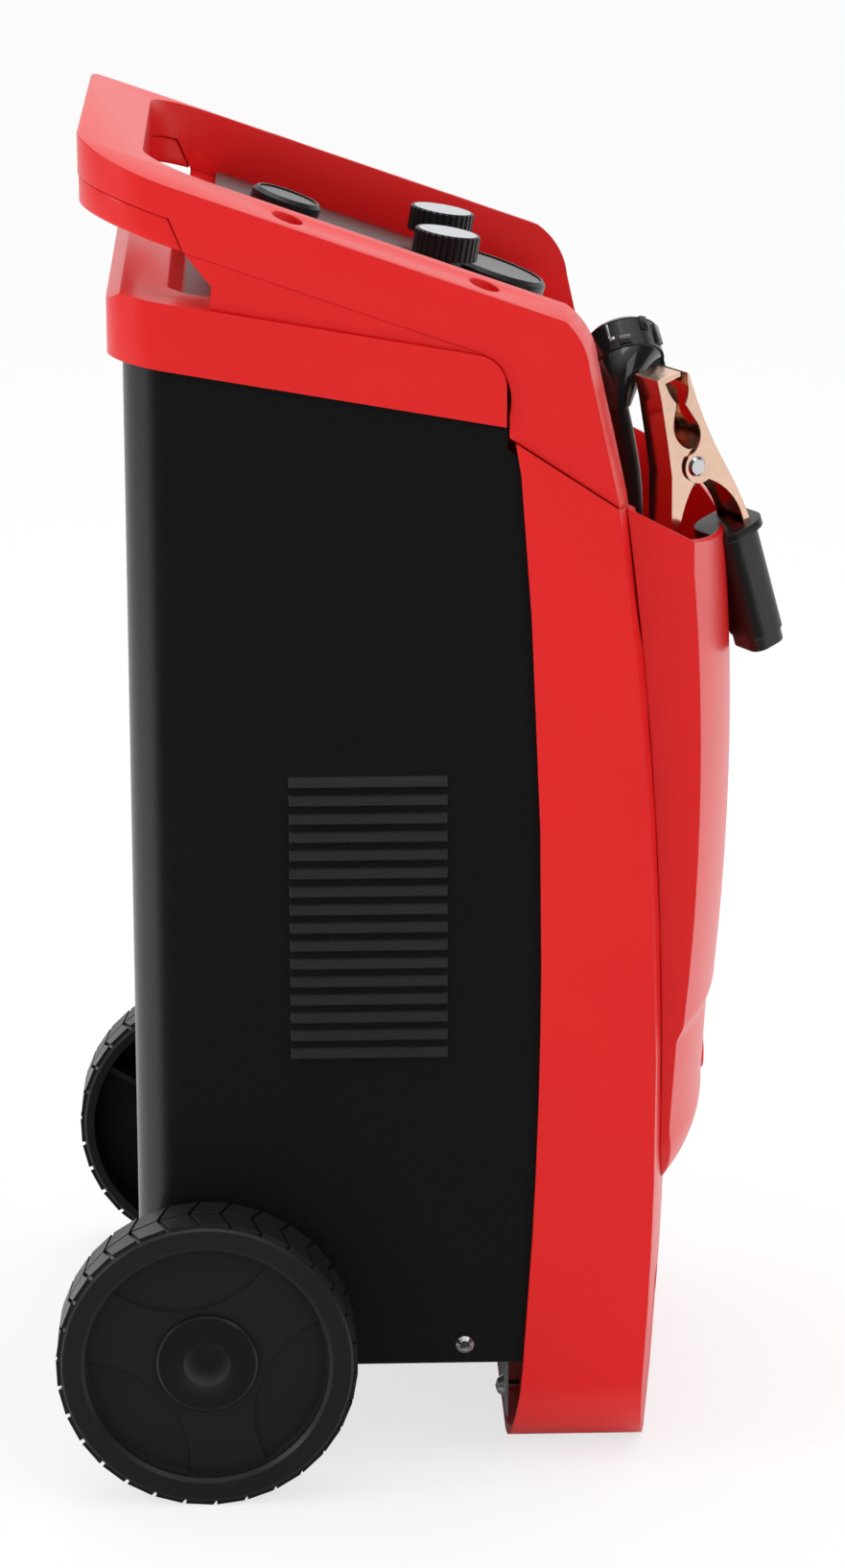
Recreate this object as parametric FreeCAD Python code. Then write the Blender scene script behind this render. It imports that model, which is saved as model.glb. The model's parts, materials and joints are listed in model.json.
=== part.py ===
import FreeCAD
import MeshPart
import Part
import math
import os
from FreeCAD import Vector

# Wheeled battery charger and starter.
# Millimetres. Z is up from the ground, the front faces -Y, and X = 0 is the middle plane.
# The origin is on the ground, midway between the wheels' rear and the storage pocket's front.
# Places along Y are given as distances ahead of the wheel axle.

# Overall places
tyre_r = 75.0
pocket_reach = 272.2
axle_y = (tyre_r + pocket_reach) / 2 - tyre_r

# Steel casing
sheet_t = 1.2
wrap_half = 149.0
wrap_back = -34.2
wrap_front = 172.0
wrap_corner_r = 22.0
wrap_bottom = 57.0
wrap_overlap = 12.0
louvre_count = 16
louvre_pitch = 9.3
louvre_top = 367.2
louvre_front = 121.0
louvre_length = 77.5
louvre_height = 6.2
louvre_out = 3.4
tray_t = 1.5
tray_flange = 32.0
tray_front = 150.0
plate_t = 1.5
plate_ahead = 152.0
plate_bottom = 14.0
plate_top = 500.0
plate_low_half = 118.0
side_screw_ahead = 129.8
side_screw_z = 66.7

# Red top cover
cover_half = 152.5
cover_back = -41.7
cover_front = 149.6
cover_slope = 0.175
cover_top_z = 598.0
cover_depth = 32.6
cover_wall = 3.0
cover_corner_r = 28.0
cover_back_chamfer = 7.0
cover_nose_r = 14.0
recess_half = 115.0
recess_back = -12.5
recess_front = 8.0
recess_depth = 10.0
recess_draft = 6.0
recess_corner_r = 22.0
control_cut_half = 108.0
control_cut_back = 16.0
control_cut_front = 160.0

# Handle frame with its two rails
rail_slope = 0.35
rail_top_z = 651.9
rail_depth = 29.0
rail_width = 31.0
rail_tilt = 0.128
handle_half = 149.6
handle_back = -54.8
handle_corner_r = 46.0
hand_hole_r = 34.0
shell_split = 15.0
gusset_top = -10.7
gusset_low = -3.9
rail_screw_r = 7.4
rail_screw_depth = 9.0
rail_screw_places = (45.5, 139.3)
shoulder_back = 151.0
seam_back_z = 531.8
seam_back = 153.9
seam_slope = 0.659
seam_gap = 0.6

# Control console between the rails
console_back = 8.0
console_wall = 3.0
console_front = 187.0
console_low_z = 507.0
console_inset = 3.2
core_low_z = 540.0
gusset_z = 607.6
seat_gap = 0.05
window_half = 80.0
window_back = 20.0
window_front = 172.5
panel_crown = 10.0
panel_t = 3.0
panel_back = 10.0
panel_front = 176.0
fit_gap = 0.4

# Round meters on the panel's crown
rear_meter_ahead = 44.0
rear_meter_r = 18.0
front_meter_ahead = 148.0
front_meter_r = 28.0
meter_h = 8.5
meter_rim = 3.0
meter_depth = 16.0
meter_dial_at = 3.0
meter_dial_t = 0.6
meter_glass_t = 1.2

# Knobs
knob_r = 16.5
knob_h = 12.5
knob_flutes = 30
knob_flute_depth = 0.9
knob_side = 35.5
knob_ahead = 126.0
knob_top_z = 615.0
knob_inlay_r = 14.6
knob_inlay_t = 0.8
knob_hub_r = 9.5
knob_shaft_r = 3.0
collar_gap = 0.4

# Front form that the panel and the shoulders share
front_bow_r = 757.0
front_mid = 239.2
front_mid_z = 265.0
front_foot = 229.6
front_seam = 219.5
front_seam_z = 500.0
front_neck = 205.0
front_neck_z = 566.0
front_brow = 196.5
front_brow_z = 586.5
front_crest = 174.0
crest_rise = 4.5

# Red front panel
front_half = 152.0
front_wall = 2.7
front_low_r = 54.0
front_rear_top = 156.7
front_rear_mid = 167.4
front_rear_low = 157.9

# Storage pocket
pocket_half = 127.0
pocket_wall = 2.5
pocket_bow_r = 335.0
pocket_back = 186.0
pocket_inner_half = 116.5
pocket_bottom = 133.0
pocket_floor = 155.0
pocket_fit = 0.5
pocket_low_r = 45.0
rim_slope = 0.526
rim_at_panel_z = 493.0
rim_at_panel = 210.8
pocket_top_reach = 268.0
pocket_mid_reach = 272.2
pocket_mid_z = 370.0
pocket_step_z = 231.0
pocket_step_reach = 266.3
pocket_step_in = 3.8
pocket_step_h = 16.0
pocket_low_reach = 259.8
pocket_low_z = 170.0
pocket_keel_reach = 244.0

# Round moulded bosses on the front
low_boss_r = 20.0
low_boss_z = 44.0
low_boss_out = 4.0
high_boss_r = 10.0
high_boss_z = 172.0
high_boss_out = 2.2
cap_recess_r = 7.5
cap_recess_depth = 5.0
cap_recess_side = 105.0
cap_recess_low_z = 85.0

# Wheels and axle
wheel_mid = 175.6
wheel_width = 34.4
tyre_edge_r = 73.1
rim_inner_r = 60.6
rim_recess = 6.0
web_t = 4.0
hub_r = 16.0
hub_cap_r = 25.3
hub_cap_t = 2.5
hub_dome_r = 12.2
hub_dome_h = 3.3
hub_pocket_r = 12.5
hub_pocket_depth = 6.5
rib_t = 3.0
rib_count = 3
rim_wall = 6.0
pad_reach = 82.0
pad_r = 54.0
pad_depth = 1.2
pad_turn = 100.0
tread_pitches = 30
tread_cut = 2.0
tread_depth = 2.0
tread_skew = 16.0
tread_mid_cut = 1.6
tread_edge = 1.8
axle_r = 7.0
axle_gap = 0.05
side_gap = 0.3
nut_r = 11.0
nut_t = 1.4
axle_end = 185.5
bush_r = 10.0
bush_gap = 0.3

# Works inside the casing
core_w = 130.0
core_d = 76.0
core_h = 150.0
core_window_w = 24.0
core_window_h = 90.0
core_mid_ahead = 62.0
core_foot_h = 16.0
winding_out = 15.0
winding_gap = 0.4
bracket_t = 2.0
bracket_w = 20.0
heatsink_z = 330.0
heatsink_w = 160.0
heatsink_h = 70.0
heatsink_fin = 22.0
heatsink_fins = 13
heatsink_base = 4.0
fin_t = 2.0
diode_r = 9.0
diode_h = 12.0
shelf_depth = 46.0
shelf_reach = 30.0
switch_shelf_t = 1.5
switch_r = 22.0
switch_h = 38.0

# Leads, glands and their coils
mains_r = 5.0
lead_r = 5.5
layer_pitch = 1.06
mains_coil_r = 66.7
lead_coil_r = 67.5
mains_x = -40.0
lead_x = -54.2
mains_gland_ahead = 199.0
lead_gland_ahead = 221.0
mains_gland_x = mains_x + mains_r * layer_pitch
lead_gland_x = lead_x + lead_r * layer_pitch
blank_gland_x = 98.0
blank_gland_ahead = 219.5
gland_r = 9.5
gland_lip = 1.5
gland_h = 28.0
gland_top_r = 6.8
coil_rest = 0.4
cord_sides = 8
wire_sides = 6
mains_half_turns = 10
lead_half_turns = 6

# Mains plug, leaning out of the pocket
plug_r = 18.5
plug_head_h = 18.0
plug_rim_at = (-22.0, 217.6, 544.6)
plug_top_at = (-10.0, 214.3, 557.6)
plug_waist_at = (-34.5, 212.5, 536.0)
plug_waist_r = 11.5
plug_entry_r = 6.8
mains_entry = (-40.0, 211.2, 526.0)

# Battery clamp, hooked over the pocket's front
clamp_x = -60.0
clamp_ahead = 249.5
clamp_z = 499.7
clamp_yaw = 28.0
clamp_half = 12.5
clamp_t = 1.2
clamp_nest = 0.7
rivet_r = 3.0
rivet_head_r = 5.2
rivet_head_h = 1.1
rivet_gap = 0.05
spring_r = 4.7
spring_wire_r = 0.9
spring_turns = 5
spring_room_r = 9.0

# Fasteners
side_screw_r = 4.7
side_screw_h = 2.6
side_shank_r = 2.5
side_shank = 10.0
foot_screw_r = 6.0
foot_screw_h = 4.4
foot_screw_side = 100.0
foot_screw_z = 23.5
foot_shank_r = 3.0
foot_shank = 8.0
rail_head_r = 5.5
rail_head_h = 2.6
rail_shank_r = 2.0
rail_shank = 12.0

os.makedirs("parts", exist_ok=True)
nodes = {}


def y_at(ahead):
    return axle_y - ahead


def box(x0, x1, y0, y1, z0, z1):
    lo = Vector(min(x0, x1), min(y0, y1), min(z0, z1))
    return Part.makeBox(abs(x1 - x0), abs(y1 - y0), abs(z1 - z0), lo)


def rod(start, axis, r, length):
    return Part.makeCylinder(r, length, Vector(*start), Vector(*axis))


def face_from(start, steps, place):
    """Closed face from a start and steps: a point is a line's end, a pair of points an arc."""
    edges = []
    here = start
    for step in list(steps) + [start]:
        if isinstance(step[0], tuple):
            mid, end = step
            edges.append(Part.Arc(place(*here), place(*mid), place(*end)).toShape())
            here = end
        elif math.dist(here, step) > 1e-6:
            edges.append(Part.LineSegment(place(*here), place(*step)).toShape())
            here = step
    return Part.Face(Part.Wire(edges))


def side_solid(half, start, *steps):
    """Solid of a side outline, given as (distance ahead, z), between X = -half and half."""
    face = face_from(start, steps, lambda a, z: Vector(-half, y_at(a), z))
    return face.extrude(Vector(2 * half, 0, 0))


def plan_solid(z0, z1, start, *steps):
    """Solid of a plan outline, given as (x, distance ahead), between two heights."""
    face = face_from(start, steps, lambda x, a: Vector(x, y_at(a), z0))
    return face.extrude(Vector(0, 0, z1 - z0))


def front_solid(ahead0, ahead1, start, *steps):
    """Solid of a front outline, given as (x, z), between two distances ahead."""
    face = face_from(start, steps, lambda x, z: Vector(x, y_at(ahead0), z))
    return face.extrude(Vector(0, ahead0 - ahead1, 0))


def bowed_solid(bow_r, mid, start, *steps, sweep=24.0):
    """Solid of a middle outline swung about the upright axis of a bowed front."""
    pivot = Vector(0, y_at(mid) + bow_r, 0)
    face = face_from(start, steps, lambda a, z: Vector(0, y_at(a), z))
    face.rotate(pivot, Vector(0, 0, 1), -sweep)
    return face.revolve(pivot, Vector(0, 0, 1), 2 * sweep)


def corner(x, a, r, turn):
    """Arc step round a plan corner at (x, a); turn gives the two directions from the corner."""
    (ux, ua), (vx, va) = turn
    k = 1 - math.sqrt(0.5)
    start = (x + r * ux, a + r * ua)
    mid = (x + r * k * (ux + vx), a + r * k * (ua + va))
    end = (x + r * vx, a + r * va)
    return start, (mid, end)


def rounded_back(half, back, front, r, z0, z1):
    """Plan slab with rounded rear corners and square front ones."""
    a0, a1 = corner(half, back, r, ((0, 1), (-1, 0)))
    b0, b1 = corner(-half, back, r, ((1, 0), (0, 1)))
    return plan_solid(z0, z1, (half, front), a0, a1, b0, b1, (-half, front))


def turned(start, axis, first, *profile):
    """Solid turned about an axis; its outline is given as (distance along, radius)."""
    origin = Vector(*start)
    main = Vector(*axis).normalize()
    across = main.cross(Vector(0, 0, 1) if abs(main.z) < 0.9 else Vector(1, 0, 0)).normalize()
    face = face_from(first, profile, lambda along, r: origin + main * along + across * r)
    return face.revolve(origin, main, 360)


def largest(shape):
    return max(shape.Solids, key=lambda s: s.Volume)


def mirrored(shape):
    return shape.mirror(Vector(0, 0, 0), Vector(1, 0, 0))


def keep(name, *solids):
    """File one node, as one solid or as a group of separate ones."""
    pieces = []
    for shape in solids:
        pieces.extend(shape.Solids)
    nodes[name] = pieces


# Sloped planes as heights at a distance ahead of the axle
def cover_top(a):
    return cover_top_z - cover_slope * a


def skirt_low(a):
    return cover_top(a) - cover_depth


def rail_top(a):
    return rail_top_z - rail_slope * a


def rail_low(a):
    return rail_top(a) - rail_depth


def seam(a):
    return seam_back_z - seam_slope * (a - seam_back)


def rim_z(a):
    return rim_at_panel_z - rim_slope * (a - rim_at_panel)


far_back = -90.0
far_front = 300.0
low = -20.0
high = 760.0
big = 220.0


# Bowed form that the front panel and the shoulders are cut to
def front_form(inset):
    foot = (front_foot - inset, low)
    mid = (front_mid - inset, front_mid_z)
    top = (front_seam - inset, front_seam_z)
    neck = (front_neck - inset, front_neck_z)
    brow = (front_brow - inset, front_brow_z - inset)
    crest = (front_crest - inset, rail_top(front_crest) + rail_width * rail_tilt + crest_rise)
    return bowed_solid(front_bow_r, front_mid, (far_back, low), foot, (mid, top), neck, (brow, crest),
                       (crest[0], high), (far_back, high))


outer_form = front_form(0)
wall_form = front_form(front_wall)


# Steel wrap: one bent sheet, back and sides, with pressed louvres
def sheet_plan(inset, z0, z1, front):
    return rounded_back(wrap_half - inset, wrap_back + inset, front, wrap_corner_r - inset, z0, z1)


def louvre(z_top):
    """One pressed hood and the slot behind it, on the +X side."""
    out = wrap_half + louvre_out
    y0, y1 = y_at(louvre_front), y_at(louvre_front - louvre_length)
    inner = wrap_half - sheet_t / 2
    skin = (inner, z_top - 0.4), (out, z_top - louvre_height), (inner, z_top - louvre_height)
    face = Part.Face(Part.makePolygon([Vector(x, y0, z) for x, z in skin + (skin[0],)]))
    hood = face.extrude(Vector(0, y1 - y0, 0))
    gap = 0.8
    room = ((wrap_half - 2 * sheet_t, z_top - gap - 0.9), (wrap_half, z_top - gap - 0.9),
            (out - gap, z_top - louvre_height + gap * 0.2), (out - gap, z_top - louvre_height - 1),
            (wrap_half - 2 * sheet_t, z_top - louvre_height - 1))
    room_face = Part.Face(Part.makePolygon([Vector(x, y0 + gap, z) for x, z in room + (room[0],)]))
    return hood, room_face.extrude(Vector(0, y1 - y0 - 2 * gap, 0))


def make_wrap():
    shell = sheet_plan(0, wrap_bottom, high, wrap_front).cut(sheet_plan(sheet_t, low, high + 1, wrap_front + 5))
    inside = cover_front - cover_wall - fit_gap
    ahead = cover_front + fit_gap
    under = skirt_low(ahead) - fit_gap
    top = side_solid(big, (far_back, skirt_low(far_back) + wrap_overlap), (inside, skirt_low(inside) + wrap_overlap),
                     (inside, under), (ahead, under), (ahead, seam(seam_back) - 4),
                     (wrap_front + 9, seam(wrap_front + 9) - 6), (wrap_front + 9, high + 2), (far_back, high + 2))
    shell = shell.cut(top)
    hoods = []
    rooms = []
    for i in range(louvre_count):
        hood, room = louvre(louvre_top - i * louvre_pitch)
        hoods += [hood, mirrored(hood)]
        rooms += [room, mirrored(room)]
    shell = shell.fuse(hoods).cut(rooms)
    hole = rod((-big, y_at(0), tyre_r), (1, 0, 0), axle_r + 0.3, 2 * big)
    screws = rod((-big, y_at(side_screw_ahead), side_screw_z), (1, 0, 0), 2.6, 2 * big)
    return shell.cut([hole, screws])


keep("body_wrap", largest(make_wrap()))


# Base tray with upturned flanges that carry the axle
def make_tray():
    half = wrap_half - sheet_t
    slab = rounded_back(half, wrap_back + sheet_t, tray_front, wrap_corner_r - sheet_t, wrap_bottom + 1,
                        wrap_bottom + 1 + tray_flange)
    room = rounded_back(half - tray_t, wrap_back + sheet_t + tray_t, tray_front + 5, wrap_corner_r - sheet_t - tray_t,
                        wrap_bottom + 1 + tray_t, high)
    tray = slab.cut(room)
    hole = rod((-big, y_at(0), tyre_r), (1, 0, 0), axle_r, 2 * big)
    return tray.cut([hole, rod((-big, y_at(side_screw_ahead), side_screw_z), (1, 0, 0), 2.5, 2 * big)])


keep("base_tray", make_tray())


# Side screws through wrap and tray
def dome_mid(r, h):
    """Middle point of a dome's outline, as (height, radius)."""
    ball = (r * r + h * h) / (2 * h)
    half_turn = math.asin(r / ball) / 2
    return ball * math.cos(half_turn) - ball + h, ball * math.sin(half_turn)


def dome_screw(start, axis, head_r, head_h, shank_r, shank):
    """Domed screw with its head's underside at the start, shank against the axis."""
    return turned(start, axis, (-shank, 0), (-shank, shank_r), (0, shank_r), (0, head_r), (head_h * 0.75, head_r * 0.6),
                  (head_h, 0))


side_screw = dome_screw((wrap_half, y_at(side_screw_ahead), side_screw_z), (1, 0, 0), side_screw_r, side_screw_h,
                        side_shank_r, side_shank)
keep("side_screws", side_screw, mirrored(side_screw))


# Grey chassis plate behind the front panel, wider above the tray than below it
def make_plate():
    half = wrap_half - sheet_t
    a0, a1 = plate_ahead, plate_ahead + plate_t
    upper = box(-half, half, y_at(a0), y_at(a1), wrap_bottom + 1, plate_top)
    lower = box(-plate_low_half, plate_low_half, y_at(a0), y_at(a1), plate_bottom, wrap_bottom + 2)
    flanges = []
    holes = []
    for s in (-1, 1):
        flanges.append(box(s * half, s * (half - plate_t), y_at(a0), y_at(wrap_front - 2), wrap_bottom + 1, plate_top))
        holes.append(rod((s * foot_screw_side, y_at(a1 + 1), foot_screw_z), (0, 1, 0), foot_shank_r, 9))
    return upper.fuse([lower] + flanges).cut(holes).removeSplitter()


keep("chassis_front_plate", make_plate())


# Top cover: a sloping lid with a skirt, a recess behind and a cut-out for the console
def recess_slab(grow, depth, rise):
    """Recess with drafted sides, from rise above the cover's top to a floor at depth below it."""
    half, back, front = recess_half + grow, recess_back - grow, recess_front + grow
    draw = recess_draft / recess_depth
    deep = depth + 6
    top_z = cover_top(recess_back)
    plan = rounded_back(half + rise, back - rise, front, recess_corner_r, low, high)
    sides = front_solid(recess_back - 20, front + 20, (half + rise * draw, top_z + rise),
                        (half - deep * draw, top_z - deep), (-half + deep * draw, top_z - deep),
                        (-half - rise * draw, top_z + rise))
    a0, a1 = back + depth * draw, back - rise * draw
    band = side_solid(big, (a0, cover_top(a0) - depth), (a1, cover_top(a1) + rise), (front, cover_top(front) + rise),
                      (front, cover_top(front) - depth))
    return plan.common([sides]).common([band])


def cover_block(inset, top_drop):
    """Solid of the cover, drawn in by inset all round."""
    half = cover_half - inset
    back = cover_back + inset
    front = cover_front - inset
    c = cover_back_chamfer
    n = cover_nose_r - inset
    k = 1 - math.sqrt(0.5)
    under = 6 if inset else 0
    nose_z = cover_top(front - n) - top_drop
    side = side_solid(big, (back, skirt_low(back) - under), (back, cover_top(back) - top_drop - c * 0.8),
                      (back + c, cover_top(back + c) - top_drop), (front - n, nose_z),
                      ((front - n * k, nose_z - n * k - 1.2), (front, cover_top(front) - top_drop - n)),
                      (front, skirt_low(front) - under))
    return side.common(rounded_back(half, back, front, cover_corner_r - inset, low, high))


def make_cover():
    shell = cover_block(0, 0).cut(cover_block(cover_wall, cover_wall))
    tub = recess_slab(cover_wall, recess_depth + cover_wall, -cover_wall / 2)
    shell = shell.fuse(tub).cut(recess_slab(0, recess_depth, 2))
    cut = box(-control_cut_half, control_cut_half, y_at(control_cut_back), y_at(control_cut_front), low, high)
    return largest(shell.cut(cut))


cover = make_cover()
keep("top_cover", cover)

# Grey printed plate on the recess floor
label_half = recess_half - recess_draft - 3.0
label_back = recess_back + recess_draft + 1.0
label = plan_solid(0, 1.0, (label_half, recess_front - 0.5), (label_half, label_back), (-label_half, label_back),
                   (-label_half, recess_front - 0.5))
label = label.transformGeometry(FreeCAD.Matrix(1, 0, 0, 0, 0, 1, 0, 0, 0, cover_slope, 1,
                                               cover_top_z - recess_depth - cover_slope * axle_y))
keep("rear_label_plate", label)


# Console: wedges under the rails, a box through the cover's cut-out and the nose between the shoulders
def make_console():
    half = cover_half - console_inset
    back, tip = console_back, (rail_low(0) - cover_top_z - seat_gap) / (rail_slope - cover_slope)
    inner = control_cut_half - fit_gap
    nose_half = handle_half - rail_width - fit_gap
    nose_back = cover_front + 1.0
    wall = console_wall
    wedge = side_solid(half, (back, cover_top(back) + seat_gap), (back + 1.2, gusset_z),
                       (gusset_low, rail_low(gusset_low) - seat_gap), (tip, cover_top(tip) + seat_gap))
    hollow_back = back + wall
    hollow = side_solid(half - wall, (hollow_back, cover_top(back) - wall), (hollow_back, rail_low(hollow_back) - wall),
                        (tip, rail_low(tip) - wall))
    core_back = control_cut_back + fit_gap
    core = side_solid(inner, (core_back, core_low_z), (core_back, rail_low(core_back) - seat_gap),
                      (console_front - 10, rail_low(console_front - 10) - seat_gap), (console_front - 10, core_low_z))
    nose = side_solid(nose_half, (nose_back, console_low_z), (nose_back, rail_low(nose_back) - seat_gap),
                      (console_front - 10, rail_low(console_front - 10) - seat_gap),
                      ((console_front - 3, rail_low(console_front) - 3), (console_front, rail_low(console_front) - 12)),
                      (console_front, console_low_z))
    room = side_solid(inner - wall, (core_back + wall, low), (core_back + wall, rail_low(core_back + wall) - wall),
                      (console_front - 12, rail_low(console_front - 12) - wall),
                      (console_front - wall, rail_low(console_front) - 14), (console_front - wall, low))
    window = box(-window_half, window_half, y_at(window_back), y_at(window_front), low, high)
    return wedge.cut(hollow).fuse([core, nose]).cut([room, window])


# Black control panel: a crowned sheet lying along the rails
def crowned(thick, z_off, half):
    steps = (((0, panel_crown), (half, 0)), (half, thick), ((0, panel_crown + thick), (-half, thick)))
    face = face_from((-half, 0), steps, lambda x, z: Vector(x, y_at(panel_back), rail_low(panel_back) + z_off + z))
    run = panel_front - panel_back
    return face.extrude(Vector(0, -run, -rail_slope * run))


panel_half = handle_half - rail_width - fit_gap
control_panel = crowned(panel_t, seat_gap, panel_half)


def panel_surface(x, a):
    return rail_low(a) + seat_gap + panel_t + panel_crown * (1 - (x / panel_half) ** 2)


# Handle frame: grip, two rails and shoulders
def make_handle():
    pb = rail_top(far_back) - shell_split
    outline = side_solid(handle_half, (far_back, rail_top(far_back) + 6), (far_back, pb),
                         (gusset_top, rail_top(gusset_top) - shell_split), (gusset_low, rail_low(gusset_low)),
                         (133.3, rail_low(133.3)), ((144.5, 569.5), (shoulder_back, 545.0)),
                         (shoulder_back, seam(shoulder_back)), (far_front, seam(far_front)), (far_front, high),
                         (far_front - 1, high))
    rise = rail_tilt * rail_width
    top = side_solid(big, (far_back - 1, rail_top(far_back - 1) + rise), (far_front + 1, rail_top(far_front + 1) + rise),
                     (far_front + 1, high + 9), (far_back - 1, high + 9))
    loop = rounded_back(handle_half, handle_back, far_front, handle_corner_r, low, high)
    hole = rounded_back(handle_half - rail_width, handle_back + rail_width, far_front + 9, hand_hole_r, low - 1,
                        high + 1)
    frame = outline.cut(top).common(loop).cut(hole)
    tilt = []
    for s in (-1, 1):
        a0, a1 = far_back - 5, far_front + 5
        z0 = rail_top(a0)
        tri = Part.makePolygon([Vector(s * (handle_half + 8), y_at(a0), z0 - 8 * rail_tilt),
                                Vector(s * (handle_half - rail_width), y_at(a0), z0 + rail_width * rail_tilt),
                                Vector(s * (handle_half - rail_width), y_at(a0), z0 + 60),
                                Vector(s * (handle_half + 8), y_at(a0), z0 + 60),
                                Vector(s * (handle_half + 8), y_at(a0), z0 - 8 * rail_tilt)])
        tilt.append(Part.Face(tri).extrude(Vector(0, a0 - a1, -rail_slope * (a1 - a0))))
    frame = frame.cut(tilt).common(outer_form)
    holes = []
    for s in (-1, 1):
        for a in rail_screw_places:
            x = s * (handle_half - rail_width / 2)
            z = rail_top(a) + rail_width / 2 * rail_tilt
            holes.append(rod((x, y_at(a), z + 6), (0, 0, -1), rail_screw_r, 6 + rail_screw_depth))
            holes.append(rod((x, y_at(a), z), (0, 0, -1), rail_shank_r, rail_screw_depth + rail_shank))
    return frame.cut(holes + [cover_block(-fit_gap / 2, -fit_gap / 2)])


handle = largest(make_handle())
keep("handle_frame", handle)
keep("console", largest(make_console().cut(handle)))


def make_handle_lower():
    inset = 0.5
    under = shell_split + seat_gap
    a0, a1 = gusset_low - fit_gap, gusset_top - fit_gap
    outline = side_solid(handle_half - inset, (far_back, rail_top(far_back) - under), (far_back, rail_low(far_back)),
                         (a0, rail_low(a0)), (a1, rail_top(a1) - under))
    loop = rounded_back(handle_half - inset, handle_back + inset, far_front, handle_corner_r - inset, low, high)
    hole = rounded_back(handle_half - rail_width + inset, handle_back + rail_width - inset, far_front + 9,
                        hand_hole_r + inset, low - 1, high + 1)
    return outline.common(loop).cut(hole)


keep("handle_lower_shell", make_handle_lower())


# Red front panel: a bowed shell with round lower corners and a window for the storage pocket
def panel_outline(inset):
    half = front_half - inset
    r = front_low_r - inset
    k = r * (1 - math.sqrt(0.5))
    return front_solid(100, 300, (-half, high), (-half, front_low_r),
                       ((-half + k, inset + k), (-half + r, inset)), (half - r, inset),
                       ((half - k, inset + k), (half, front_low_r)), (half, high))


def screw_cup(x, z, depth, r):
    """Rod on the front panel, from depth behind its face to well ahead of it."""
    face = front_mid - x * x / (2 * front_bow_r)
    return rod((x, y_at(face - depth), z), (0, -1, 0), r, depth + 20)


def make_front_panel():
    a0, a1, a2 = front_rear_low - 5, 300, seam_back
    keep_in = side_solid(big, (a0, 0), (front_rear_low, 40), ((front_rear_mid, 270), (front_rear_top, 515)),
                         (a2, seam(a2) - seam_gap), (a1, seam(a1) - seam_gap), (a1, 0))
    outer = panel_outline(0).common(outer_form).common(keep_in)
    inner = panel_outline(front_wall).common(wall_form)
    shell = outer.cut(inner)
    boss = turned((0, y_at(front_foot - 8), low_boss_z), (0, -1, 0), (0, 0), (0, low_boss_r),
                  (8 + low_boss_out - 1, low_boss_r), (8 + low_boss_out, low_boss_r - 1), (8 + low_boss_out, 0))
    shell = shell.fuse(boss.cut(wall_form))
    cups, holes = [], []
    for side in (-1, 1):
        x = side * cap_recess_side
        cups.append(screw_cup(x, cap_recess_low_z, cap_recess_depth + front_wall, cap_recess_r + 2))
        holes.append(screw_cup(x, cap_recess_low_z, cap_recess_depth, cap_recess_r))
    cups = [cup.common(outer) for cup in cups]
    window = box(-pocket_inner_half - pocket_fit, pocket_inner_half + pocket_fit, y_at(150), y_at(300),
                 pocket_floor - pocket_wall - pocket_fit, high)
    return largest(shell.fuse(cups).cut(holes + [window]))


keep("front_panel", make_front_panel())


# Storage pocket: a bowed bin on the panel's face with a tub behind it
def pocket_bow(inset):
    step_z = pocket_step_z - pocket_step_h
    low_in = pocket_step_reach - pocket_step_in - inset
    out = pocket_step_reach - inset
    mid_a = pocket_step_reach - pocket_step_in / 2 - inset
    mid_z = pocket_step_z - pocket_step_h / 2
    keel = pocket_keel_reach - inset
    bottom = pocket_bottom + inset
    return bowed_solid(pocket_bow_r, pocket_mid_reach, (150, bottom), (keel, bottom),
                       ((pocket_low_reach - 4 - inset, bottom + 15), (pocket_low_reach - inset, pocket_low_z)),
                       (low_in, step_z), ((low_in + 0.5, step_z + 4.5), (mid_a, mid_z)),
                       ((out - 0.5, pocket_step_z - 4.5), (out, pocket_step_z)),
                       ((pocket_mid_reach - inset, pocket_mid_z), (pocket_top_reach - inset, 462)),
                       (pocket_top_reach - inset - 2, high), (150, high), sweep=30.0)


def pocket_outline(inset):
    half = pocket_half - inset
    r = pocket_low_r - inset
    k = r * (1 - math.sqrt(0.5))
    bottom = pocket_bottom + inset
    corner_z = pocket_bottom + pocket_low_r
    return front_solid(150, 300, (-half, high), (-half, corner_z), ((-half + k, bottom + k), (-half + r, bottom)),
                       (half - r, bottom), ((half - k, bottom + k), (half, corner_z)), (half, high))


def make_pocket():
    wall = pocket_wall
    back_form = front_form(-seat_gap)
    back_wall_form = front_form(-seat_gap - wall)
    below_rim = side_solid(big, (150, low), (150, rim_z(150)), (300, rim_z(300)), (300, low))
    bin_outer = pocket_bow(0).common(pocket_outline(0)).cut(back_form)
    bin_room = pocket_bow(wall).common(pocket_outline(wall)).cut(back_wall_form)
    boss = turned((0, y_at(pocket_low_reach - 8), high_boss_z), (0, -1, 0), (0, 0), (0, high_boss_r),
                  (8 + high_boss_out - 0.6, high_boss_r), (8 + high_boss_out, high_boss_r - 0.6), (8 + high_boss_out, 0))
    half = pocket_inner_half
    reach = pocket_mid_reach - 20
    tub = box(-half, half, y_at(pocket_back), y_at(reach), pocket_floor - wall, high).common(pocket_bow(0.6))
    tub_room = box(-half + wall, half - wall, y_at(pocket_back + wall), y_at(reach + 9), pocket_floor, high)
    tub_room = tub_room.common(pocket_bow(wall))
    solid = bin_outer.fuse([tub, boss.common(pocket_bow(-9))]).common(below_rim)
    glands = [rod((x, y_at(a), pocket_floor - 9), (0, 0, 1), gland_r - gland_lip, 18) for x, a in gland_places]
    return largest(solid.cut([bin_room, tub_room] + glands))


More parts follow.
